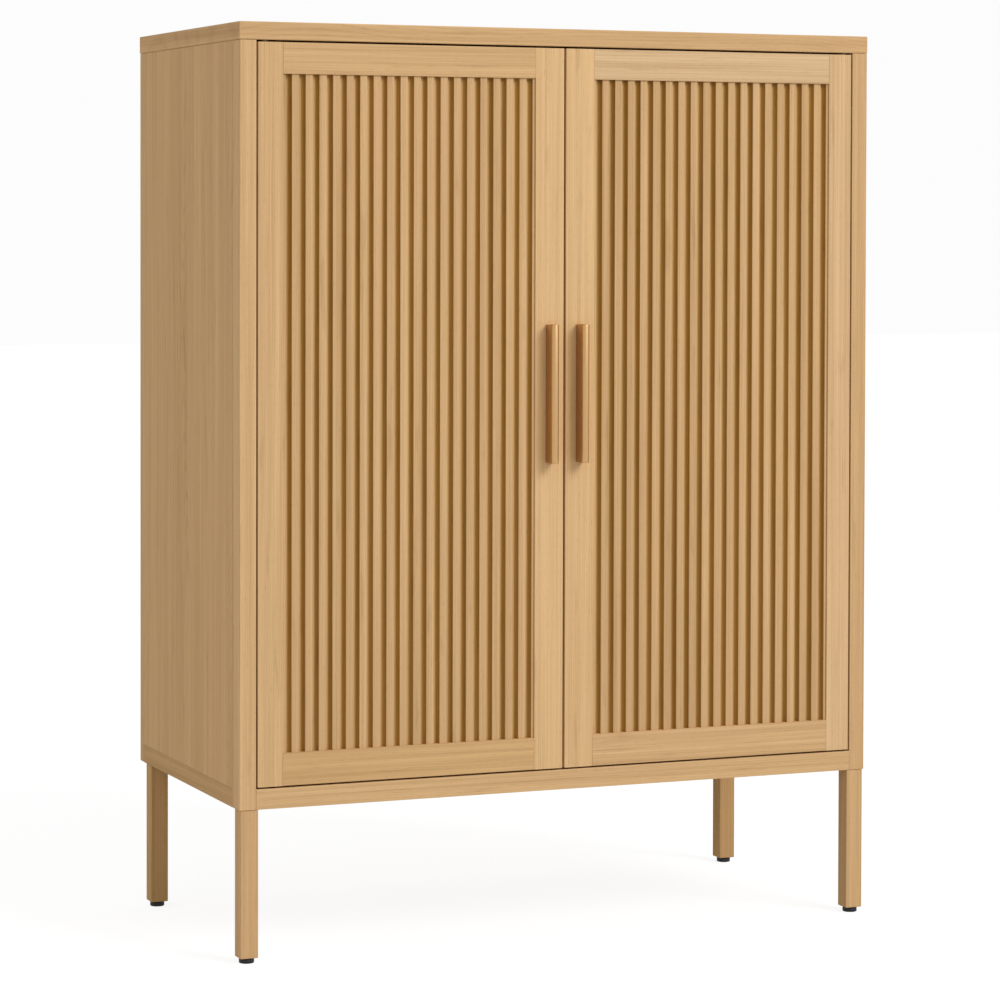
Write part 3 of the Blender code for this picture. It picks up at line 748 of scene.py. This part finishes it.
def draw_up(rings, sides, centre=(0.0, 0.0, 0.0)):
    """Turn a round piece along Z: a disc is drawn up through rings of radius and height."""
    deselect_all()
    centre = Vector(centre)
    radius, height = rings[0]
    bpy.ops.mesh.primitive_circle_add(
        vertices=sides, radius=radius, fill_type="NGON", location=centre + height * Z_AXIS
    )
    piece = apply_place()
    enter("EDIT")
    bpy.ops.mesh.select_mode(type="FACE")
    bpy.ops.mesh.select_all(action="SELECT")
    for (radius, height), (next_radius, next_height) in zip(rings, rings[1:]):
        push_out(0.0, 0.0, next_height - height)
        share, level = next_radius / radius, centre + next_height * Z_AXIS
        bpy.ops.transform.resize(value=(share, share, 1.0), center_override=level)
    enter("OBJECT")
    return piece


def cut_away(piece, cutter):
    """Cut another piece out of a piece, and clear it away."""
    use_modifier(piece, "BOOLEAN", object=cutter, operation="DIFFERENCE", solver="EXACT")
    bpy.data.objects.remove(cutter)


def soften(piece, width, segments=2):
    """Round the sharp edges of a piece, those that turn by more than 50 degrees."""
    rounding = {"width": width, "segments": segments}
    use_modifier(piece, "BEVEL", limit_method="ANGLE", angle_limit=radians(50.0), **rounding)


def settle(piece, name, slot, material=None, corner=35.0):
    """Name, smooth and dress a piece that is shaped."""
    make_active(piece)
    enter("EDIT")
    bpy.ops.mesh.select_all(action="SELECT")
    bpy.ops.mesh.normals_make_consistent(inside=False)
    enter("OBJECT")
    bpy.ops.object.shade_smooth_by_angle(angle=radians(corner))
    piece.name = name
    piece.data.name = name
    dress(piece, material or fitting_material(slot))
    return piece


def copy_to(pattern, name, body, placing):
    """A copy of a settled piece with its own mesh, carried to its place on a body."""
    mesh = pattern.data.copy()
    mesh.transform(placing)
    mesh.name = name
    piece = link(bpy.data.objects.new(name, mesh))
    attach(piece, body)
    return piece


def facing(place, direction):
    """The placing of a piece made along Z: at a place, and turned towards a direction."""
    turn = Z_AXIS.rotation_difference(Vector(direction)).to_matrix().to_4x4()
    return Matrix.Translation(place) @ turn


def clear_away(*patterns):
    """Delete the patterns that only served for copies."""
    for pattern in patterns:
        bpy.data.objects.remove(pattern)


# The fluted panels

# The tongue's reach, its two faces behind the panel's front, and its play in the grooves
TONGUE_LENGTH = 7.7 * MM
TONGUE_FACES = (6.5 * MM, 12.5 * MM)
TONGUE_PLAY = 0.3 * MM
FLUTE_SIDES = 72


def flute_row(low, high):
    """The first flute's place across a panel, and the number of flutes about its middle."""
    flutes = settings().flutes
    usable = high - low - flutes.width - 2 * flutes.margin
    count = int(usable / flutes.pitch) + 1
    return (low + high) / 2 - (count - 1) / 2 * flutes.pitch, count


def panel_with_tongue(low, high):
    """A panel as wide as its frame shows, with a tongue all round that fills its whole box."""
    edge = Vector((TONGUE_LENGTH, 0.0, TONGUE_LENGTH))
    panel = start_box(low + edge, high - edge)
    enter("EDIT")
    for setback in TONGUE_FACES:
        bpy.ops.mesh.select_all(action="SELECT")
        bpy.ops.mesh.bisect(plane_co=(0.0, low.y + setback, 0.0), plane_no=(0.0, 1.0, 0.0))
    middle_y = low.y + sum(TONGUE_FACES) / 2
    choose(
        lambda face: abs(face.calc_center_median().y - middle_y) < MM and abs(face.normal.y) < 0.1
    )
    push_out(0.0, 0.0, 0.0)
    whole, body = high - low, high - low - 2 * edge
    bpy.ops.transform.resize(
        value=(whole.x / body.x, 1.0, whole.z / body.z), center_override=(low + high) / 2
    )
    enter("OBJECT")
    return panel


def flute_cutters(low, high):
    """A row of half-oval bars, longer than the panel, that cut its flutes."""
    flutes = settings().flutes
    inset = TONGUE_LENGTH - TONGUE_PLAY
    first, count = flute_row(low.x + inset, high.x - inset)
    deselect_all()
    bpy.ops.mesh.primitive_cylinder_add(
        vertices=FLUTE_SIDES,
        radius=flutes.width / 2,
        depth=high.z - low.z + 10 * MM,
        location=(first, low.y, (low.z + high.z) / 2),
    )
    bpy.context.object.scale = (1.0, 2 * flutes.depth / flutes.width, 1.0)
    cutter = apply_place()
    step = {"constant_offset_displace": (flutes.pitch, 0.0, 0.0), "use_constant_offset": True}
    use_modifier(cutter, "ARRAY", count=count, use_relative_offset=False, **step)
    return cutter


class CUPBOARD_OT_model_fluted_panels(bpy.types.Operator):
    """Model the doors' panels: half-oval flutes with softened arrises, and a tongue all round"""

    bl_idname = "cupboard.model_fluted_panels"
    bl_label = "Model the fluted panels"

    def execute(self, context):
        for side_name in SIDES:
            node = side_name + "_door_fluted_panel"
            low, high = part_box(node)
            panel = panel_with_tongue(low, high)
            cut_away(panel, flute_cutters(low, high))
            soften(panel, settings().flutes.arris, segments=3)
            material = frame["nodes"][node].data.materials[0]
            settle(panel, side_name + "_fluted_panel", "oak", material)
            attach(panel, side_name + "_door")
            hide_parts(node)
        return {"FINISHED"}


# Handles


class CUPBOARD_OT_model_handles(bpy.types.Operator):
    """Model the solid bar handles: flat sides, a round front and softened ends"""

    bl_idname = "cupboard.model_handles"
    bl_label = "Model the handles"

    def execute(self, context):
        for side_name in SIDES:
            node = side_name + "_door_handle"
            low, high, middle = box_of(node)
            radius = (high.x - low.x) / 2
            centre = Vector((middle.x, low.y + radius, middle.z))
            deselect_all()
            bpy.ops.mesh.primitive_cylinder_add(
                vertices=96, radius=radius, depth=high.z - low.z, location=centre
            )
            bar = apply_place()
            enter("EDIT")
            bpy.ops.mesh.select_all(action="SELECT")
            bpy.ops.mesh.bisect(
                plane_co=centre, plane_no=(0.0, 1.0, 0.0), use_fill=True, clear_outer=True
            )
            choose(lambda face: face.normal.y > 0.9)
            push_out(0.0, high.y - centre.y, 0.0)
            enter("OBJECT")
            soften(bar, settings().handles.edge_radius, segments=3)
            settle(bar, side_name + "_handle_bar", "brushed_brass")
            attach(bar, side_name + "_door")
            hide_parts(node)
        return {"FINISHED"}


# Screws

# The radius and height of each ring of a screw head, in millimetres
SCREW_RINGS = {
    "pan": ((3.7, 0.0), (4.0, 0.3), (4.0, 1.1), (3.7, 1.7), (2.9, 2.2), (1.6, 2.45)),
    "flat": ((1.2, -1.6), (2.6, -0.2), (2.6, 0.0), (2.3, 0.1), (1.4, 0.15)),
}
CROSS_WIDTH, CROSS_DEPTH, CROSS_SHARE = 0.8 * MM, 1.1 * MM, 0.72

# How far the screws lie from the middle of their fitting, and the back's rows of screws
STRIKE_SCREW_REACH = 8.5 * MM
CATCH_SCREW_REACH, CATCH_SCREW_SETBACK = 13.2 * MM, 0.6 * MM
BACK_SCREWS, BACK_SCREW_SPACING = 5, 195.0 * MM


def metres(rings):
    """Rings that are given in millimetres, in metres."""
    return [(radius * MM, height * MM) for radius, height in rings]


def put_screw(head, name, body, place, direction):
    """A screw on a body, at a place, whose head looks in a direction."""
    copy_to(head, name, body, facing(place, direction))


def cross_cutter(half, reach, low, high):
    """An upright bar with four arms drawn out of its sides."""
    cross = start_box((-half, -half, low), (half, half, high))
    enter("EDIT")
    for x, y in ((1, 0), (-1, 0), (0, 1), (0, -1)):
        way = Vector((x, y, 0.0))
        side = half * way
        choose(lambda face: (face.calc_center_median().xy - side.xy).length < half / 2)
        push_out(*((reach - half) * way))
    enter("OBJECT")
    return cross


def screw_head(style):
    """A cross-headed screw head that looks along Z, with its seat at the origin."""
    rings = metres(SCREW_RINGS[style])
    head = draw_up(rings, 48)
    reach, top = rings[-3][0] * CROSS_SHARE, rings[-1][1]
    cut_away(head, cross_cutter(CROSS_WIDTH / 2, reach, top - CROSS_DEPTH, top + MM))
    return settle(head, style + "_screw_head", "steel", corner=30.0)


class CUPBOARD_OT_model_screws(bpy.types.Operator):
    """Model the screws of the handles, catches, strike plates and back panel"""

    bl_idname = "cupboard.model_screws"
    bl_label = "Model the screws"

    def execute(self, context):
        pan, flat = screw_head("pan"), screw_head("flat")
        half_distance = settings().handles.screw_distance / 2
        for side_name, side in SIDES.items():
            door = side_name + "_door"
            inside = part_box(door + "_meeting_stile")[1].y
            middle = box_of(door + "_handle")[2]
            for end, way in (("lower", -1), ("upper", 1)):
                place = (middle.x, inside, middle.z + way * half_distance)
                put_screw(pan, f"{side_name}_handle_{end}_screw", door, place, Y_AXIS)
            for end, way in (("inner", -side), ("outer", side)):
                low, high, middle = box_of(door + "_strike_plate")
                place = (middle.x + way * STRIKE_SCREW_REACH, high.y - 0.2 * MM, middle.z)
                put_screw(flat, f"{side_name}_strike_{end}_screw", door, place, Y_AXIS)
                low, high, middle = box_of(side_name + "_magnetic_catch")
                place = middle + Vector((way * CATCH_SCREW_REACH, CATCH_SCREW_SETBACK, 0.0))
                place.z = low.z + 0.4 * MM
                put_screw(flat, f"{side_name}_catch_{end}_screw", "carcass", place, -Z_AXIS)
        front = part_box("back_panel")[0].y
        floor_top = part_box("floor_panel")[1].z
        for row, rail in (("upper", "rear_top_rail"), ("lower", "rear_bottom_rail")):
            low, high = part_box(rail)
            height = (max(low.z, floor_top) + high.z) / 2
            for number in range(BACK_SCREWS):
                place = ((number - (BACK_SCREWS - 1) / 2) * BACK_SCREW_SPACING, front, height)
                put_screw(flat, f"back_{row}_screw_{number + 1}", "carcass", place, -Y_AXIS)
        clear_away(pan, flat)
        return {"FINISHED"}


# Catches and strike plates


def add_catch_plate(name, slot, low, high, rounding):
    """A plate of a magnetic catch: a pole or the magnet."""
    plate = start_box(low, high)
    soften(plate, rounding)
    settle(plate, name, slot)
    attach(plate, "carcass")


class CUPBOARD_OT_model_catches(bpy.types.Operator):
    """Model the magnetic catches: a case, two pole plates and the magnet between them"""

    bl_idname = "cupboard.model_catches"
    bl_label = "Model the magnetic catches"

    def execute(self, context):
        pole_reach, wall, pocket, inner_end = 1.2 * MM, 2.2 * MM, 1.6 * MM, 5 * MM
        half_width, half_pole, half_magnet = 11.0 * MM, 0.6 * MM, 1.75 * MM
        seat_rings = metres(((2.8, -1.0), (2.8, 0.4), (1.3, 1.9)))
        for side_name in SIDES:
            node = side_name + "_magnetic_catch"
            low, high, middle = box_of(node)
            case = start_box(low + pole_reach * Y_AXIS, high)
            enter("EDIT")
            choose(lambda face: face.normal.y < -0.9)
            bpy.ops.mesh.inset(thickness=wall)
            push_out(0.0, pocket, 0.0)
            enter("OBJECT")
            soften(case, 0.4 * MM)
            for way in (-1, 1):
                seat = (middle.x + way * CATCH_SCREW_REACH, middle.y + CATCH_SCREW_SETBACK, low.z)
                cut_away(case, draw_up(seat_rings, 32, seat))
            settle(case, side_name + "_catch_case", "black_plastic")
            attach(case, "carcass")
            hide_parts(node)
            left, right = middle.x - half_width, middle.x + half_width
            for end, way in (("lower", -1), ("upper", 1)):
                height = middle.z + way * 2.4 * MM
                add_catch_plate(
                    f"{side_name}_catch_{end}_pole",
                    "steel",
                    (left, low.y, height - half_pole),
                    (right, low.y + inner_end, height + half_pole),
                    0.15 * MM,
                )
            add_catch_plate(
                side_name + "_catch_magnet",
                "black_plastic",
                (left, low.y + 0.5 * MM, middle.z - half_magnet),
                (right, low.y + inner_end, middle.z + half_magnet),
                0.3 * MM,
            )
        return {"FINISHED"}


class CUPBOARD_OT_model_strike_plates(bpy.types.Operator):
    """Model the strike plates: round corners and two screw holes each"""

    bl_idname = "cupboard.model_strike_plates"
    bl_label = "Model the strike plates"

    def execute(self, context):
        corner_radius, hole_rings = 1.8 * MM, metres(((2.75, -2.0), (2.75, 2.0)))
        for side_name in SIDES:
            node = side_name + "_door_strike_plate"
            low, high, middle = box_of(node)
            plate = start_box(low, high)
            enter("EDIT")
            choose(lambda edge: abs(edge.verts[0].co.y - edge.verts[1].co.y) > 0.5 * MM, "edges")
            bpy.ops.mesh.bevel(offset=corner_radius, segments=6)
            enter("OBJECT")
            soften(plate, 0.12 * MM)
            for way in (-1, 1):
                hole = draw_up(hole_rings, 40)
                hole.data.transform(facing(middle + way * STRIKE_SCREW_REACH * X_AXIS, Y_AXIS))
                cut_away(plate, hole)
            settle(plate, side_name + "_strike_plate", "steel")
            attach(plate, side_name + "_door")
            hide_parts(node)
        return {"FINISHED"}


# Shelf pins


class CUPBOARD_OT_model_shelf_pins(bpy.types.Operator):
    """Model the shelf pins: a tapered tip in the side and a rounded head under the shelf"""

    bl_idname = "cupboard.model_shelf_pins"
    bl_label = "Model the shelf pins"

    def execute(self, context):
        low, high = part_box("shelf_1_left_front_pin")
        length, head = (high.x - low.x) / MM, (high.z - low.z) / (2 * MM)
        shank, shank_end = 2.5, 8.0
        tip = ((1.7, 0.0), (shank, 1.0), (shank, shank_end))
        collar = ((head - 0.3, shank_end), (head, shank_end + 0.3), (head, length - 0.9))
        rings = metres(tip + collar + ((head - 0.3, length - 0.3), (head - 1.0, length)))
        pin = settle(draw_up(rings, 48), "shelf_pin", "steel", corner=30.0)
        for shelf in ("shelf_1", "shelf_2"):
            for side_name, side in SIDES.items():
                for end in ENDS:
                    node = f"{shelf}_{side_name}_{end}_pin"
                    low, high, middle = box_of(node)
                    place = (high.x if side > 0 else low.x, middle.y, middle.z)
                    name = f"{shelf}_{side_name}_{end}_support"
                    copy = copy_to(pin, name, "carcass", facing(place, -side * X_AXIS))
                    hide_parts(node)
        clear_away(pin)
        return {"FINISHED"}


# Levelling feet


def threaded_stem(radius, low, high):
    """A threaded stem along Z, drawn as a screw and cut flat at both ends."""
    pitch, depth, steps = 1.25 * MM, 0.65 * MM, 36
    deselect_all()
    bpy.ops.mesh.primitive_plane_add(size=1.0)
    stem = bpy.context.object
    stem.data.clear_geometry()
    start = low - 2 * pitch
    profile = [
        (radius - depth, 0.0, start),
        (radius, 0.0, start + 0.45 * pitch),
        (radius, 0.0, start + 0.55 * pitch),
        (radius - depth, 0.0, start + pitch),
    ]
    stem.data.from_pydata(profile, [(0, 1), (1, 2), (2, 3)], [])
    use_modifier(
        stem,
        "SCREW",
        axis="Z",
        steps=steps,
        render_steps=steps,
        screw_offset=pitch,
        iterations=int((high - low) / pitch) + 4,
        use_merge_vertices=True,
        merge_threshold=0.01 * MM,
    )
    enter("EDIT")
    bpy.ops.mesh.select_all(action="SELECT")
    bpy.ops.mesh.remove_doubles(threshold=0.005 * MM)
    for height, direction in ((low, -1.0), (high, 1.0)):
        bpy.ops.mesh.select_all(action="SELECT")
        bpy.ops.mesh.bisect(
            plane_co=(0.0, 0.0, height),
            plane_no=(0.0, 0.0, direction),
            use_fill=True,
            clear_outer=True,
        )
    enter("OBJECT")
    return stem


class CUPBOARD_OT_model_feet(bpy.types.Operator):
    """Model the levelling feet: a round pad with a soft rim on a threaded stem"""

    bl_idname = "cupboard.model_feet"
    bl_label = "Model the levelling feet"

    def execute(self, context):
        low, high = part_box("left_front_foot")
        stem_low, stem_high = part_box("left_front_foot_stem")
        radius, top = (high.x - low.x) / (2 * MM), high.z / MM
        stem_radius = (stem_high.x - stem_low.x) / 2
        hole = stem_radius / MM + 0.3
        rim = ((radius - 1.1, 0.0), (radius - 0.4, 0.25), (radius, 1.0))
        shoulder = ((radius, top - 1.5), (radius - 0.35, top - 0.55), (radius - 1.2, top))
        rings = metres(rim + shoulder + ((hole, top), (hole, stem_low.z / MM - 0.3)))
        pad = settle(draw_up(rings, 96), "foot_pad", "black_plastic")
        stem = settle(threaded_stem(stem_radius, stem_low.z, stem_high.z), "foot_stem", "steel")
        for side_name in SIDES:
            for end in ENDS:
                foot = f"{side_name}_{end}_foot"
                middle = box_of(foot)[2]
                placing = Matrix.Translation((middle.x, middle.y, 0.0))
                copy = copy_to(pad, foot + "_pad", foot, placing)
                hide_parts(foot)
                copy = copy_to(stem, foot + "_thread", foot, placing)
                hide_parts(foot + "_stem")
        clear_away(pad, stem)
        return {"FINISHED"}


# The stage


class CUPBOARD_OT_set_stage(bpy.types.Operator):
    """Set up the camera, the floor, the backdrop and the lights"""

    bl_idname = "cupboard.set_stage"
    bl_label = "Set the stage"

    def execute(self, context):
        build_camera()
        build_floor()
        build_world()
        build_lights()
        context.scene.view_settings.view_transform = "Standard"
        return {"FINISHED"}


# The camera that was fitted to the photograph's edges of the cupboard
CAMERA_PLACE = Vector((-1.8122, -4.35521, 0.95646))
CAMERA_YAW = radians(22.6456)
CAMERA_PITCH = radians(1.4177)
CAMERA_ROLL = radians(0.1397)
CAMERA_SHIFT = (-0.00714, -0.20072)


def build_camera():
    """The camera at the photograph's viewing angle."""
    data = bpy.data.cameras.new("camera")
    camera = link(bpy.data.objects.new("camera", data))
    camera.location = CAMERA_PLACE
    turn = (
        Matrix.Rotation(-CAMERA_YAW, 3, "Z")
        @ Matrix.Rotation(radians(90.0) - CAMERA_PITCH, 3, "X")
        @ Matrix.Rotation(CAMERA_ROLL, 3, "Z")
    )
    camera.rotation_euler = turn.to_euler()
    data.sensor_width = 36.0
    data.lens = settings().stage.lens
    data.shift_x, data.shift_y = CAMERA_SHIFT
    data.clip_end = 100.0
    bpy.context.scene.camera = camera


# The backdrop's and the floor's brightness as they are seen, and the floor's greys: as a thing
# that lights the cupboard, and as it is seen under its own glow
BACKDROP = 0.975
FLOOR_GLOW = 0.86
LIGHTING_GREY, SEEN_GREY = (0.60, 0.60, 0.60, 1.0), (0.20, 0.20, 0.20, 1.0)


def seen_directly(tree):
    """1 for rays from the camera, in reflections and through glass, otherwise 0."""
    path = add_node(tree, "ShaderNodeLightPath").outputs
    either = maths(tree, "MAXIMUM", path["Is Camera Ray"], path["Is Glossy Ray"])
    return maths(tree, "MAXIMUM", either, path["Is Transmission Ray"])


def build_floor():
    """A pale floor that fades into the backdrop and keeps the cupboard's shadow."""
    deselect_all()
    bpy.ops.mesh.primitive_plane_add(size=40.0)
    floor = bpy.context.object
    floor.name = "floor"
    material, tree, shader = new_material("pale_floor")
    shown = seen_directly(tree)
    feed(tree, blend(tree, shown, LIGHTING_GREY, SEEN_GREY), shader.inputs["Base Color"])
    shader.inputs["Roughness"].default_value = 0.9
    shader.inputs["Specular IOR Level"].default_value = 0.0
    shader.inputs["Emission Color"].default_value = (1.0, 1.0, 1.0, 1.0)
    feed(tree, times(tree, shown, FLOOR_GLOW), shader.inputs["Emission Strength"])
    dress(floor, material)


def build_world():
    """Even light from all round, with a near white backdrop behind the cupboard."""
    world = bpy.data.worlds.new("room")
    world.use_nodes = True
    tree = world.node_tree
    background = tree.nodes["Background"]
    background.inputs["Color"].default_value = (1.0, 1.0, 1.0, 1.0)
    room = settings().stage.room_strength
    strength = maths(tree, "MULTIPLY_ADD", seen_directly(tree), BACKDROP - room, room)
    feed(tree, strength, background.inputs["Strength"])
    bpy.context.scene.world = world


# What the lights aim at, and their power in watts, the main one's at a strength of 1
LIT_PLACE = Vector((0.0, -0.2, 0.7))
MAIN_POWER, FILL_POWER = 300.0, 6.0


def add_panel_light(name, azimuth, elevation, distance, size, power):
    """A square soft light, at an azimuth from the front towards the right, in degrees."""
    data = bpy.data.lights.new(name, "AREA")
    data.shape = "SQUARE"
    data.size = size
    data.energy = power
    light = link(bpy.data.objects.new(name, data))
    azimuth, elevation = radians(azimuth), radians(elevation)
    level = distance * cos(elevation)
    way = Vector((level * sin(azimuth), -level * cos(azimuth), distance * sin(elevation)))
    light.location = LIT_PLACE + way
    light.rotation_euler = (-way).to_track_quat("-Z", "Y").to_euler()


def build_lights():
    """A large soft light from the upper right, and a weak one that fills the left side."""
    main_power = MAIN_POWER * settings().stage.key_strength
    add_panel_light("main_light", 31.0, 34.0, 9.0, 4.3, main_power)
    add_panel_light("fill_light", -100.0, 5.71, 3.015, 2.0, FILL_POWER)


STEPS = (
    CUPBOARD_OT_finish_oak,
    CUPBOARD_OT_finish_fittings,
    CUPBOARD_OT_model_fluted_panels,
    CUPBOARD_OT_model_handles,
    CUPBOARD_OT_model_screws,
    CUPBOARD_OT_model_catches,
    CUPBOARD_OT_model_strike_plates,
    CUPBOARD_OT_model_shelf_pins,
    CUPBOARD_OT_model_feet,
    CUPBOARD_OT_set_stage,
)


class CUPBOARD_PT_steps(bpy.types.Panel):
    """The steps that dress the cupboard"""

    bl_idname = "CUPBOARD_PT_steps"
    bl_label = "Oak Cupboard"
    bl_space_type = "VIEW_3D"
    bl_region_type = "UI"
    bl_category = "Cupboard"

    def draw(self, context):
        for step in STEPS:
            self.layout.operator(step.bl_idname)


GROUPS = (OakSettings, FluteSettings, HandleSettings, StageSettings, CupboardSettings)
CLASSES = GROUPS + STEPS + (CUPBOARD_PT_steps,)


def register():
    """Register the classes and hang the settings on the scene."""
    for part in CLASSES:
        bpy.utils.register_class(part)
    bpy.types.Scene.cupboard = PointerProperty(type=CupboardSettings)


def unregister():
    """Take the settings and classes away again."""
    del bpy.types.Scene.cupboard
    for part in reversed(CLASSES):
        bpy.utils.unregister_class(part)


def main():
    """Dress the cupboard, one step after another."""
    register()
    for step in STEPS:
        getattr(bpy.ops.cupboard, step.bl_idname.split(".")[1])()
    deselect_all()


if __name__ == "__main__":
    main()
